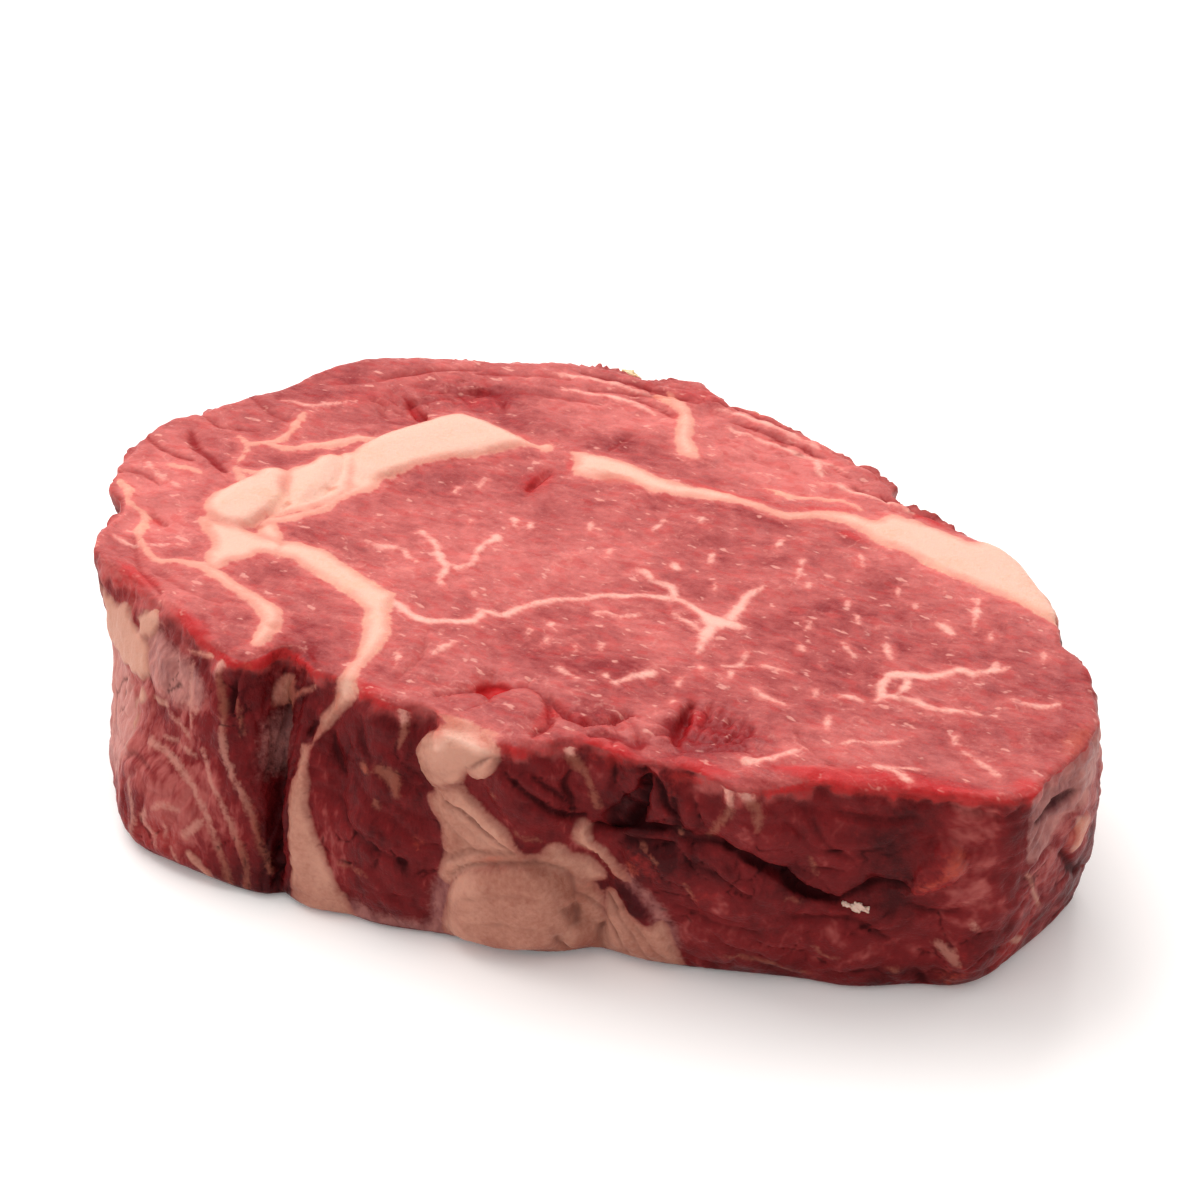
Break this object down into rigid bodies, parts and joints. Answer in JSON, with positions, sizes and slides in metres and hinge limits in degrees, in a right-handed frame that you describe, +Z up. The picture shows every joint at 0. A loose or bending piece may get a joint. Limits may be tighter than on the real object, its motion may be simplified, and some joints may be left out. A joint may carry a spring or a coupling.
{
  "type": "raw beef steak",
  "caption": "Thick raw boneless beef steak with a marbled cut face, a seam of fat and dark folded sides, which rests flat on a board or plate.",
  "frame": {"origin": "middle of the underside, at the centre of the bounding box's bottom", "axes": "+X along the steak's length, towards the narrower end; +Y across it, away from the side with the slit; +Z up, out of the cut face"},
  "size_m": [0.169, 0.1136, 0.0387],
  "materials": {
    "raw_beef": "moist"
  },
  "bodies": {
    "root": {"steak": "raw_beef"}
  },
  "joints": []
}
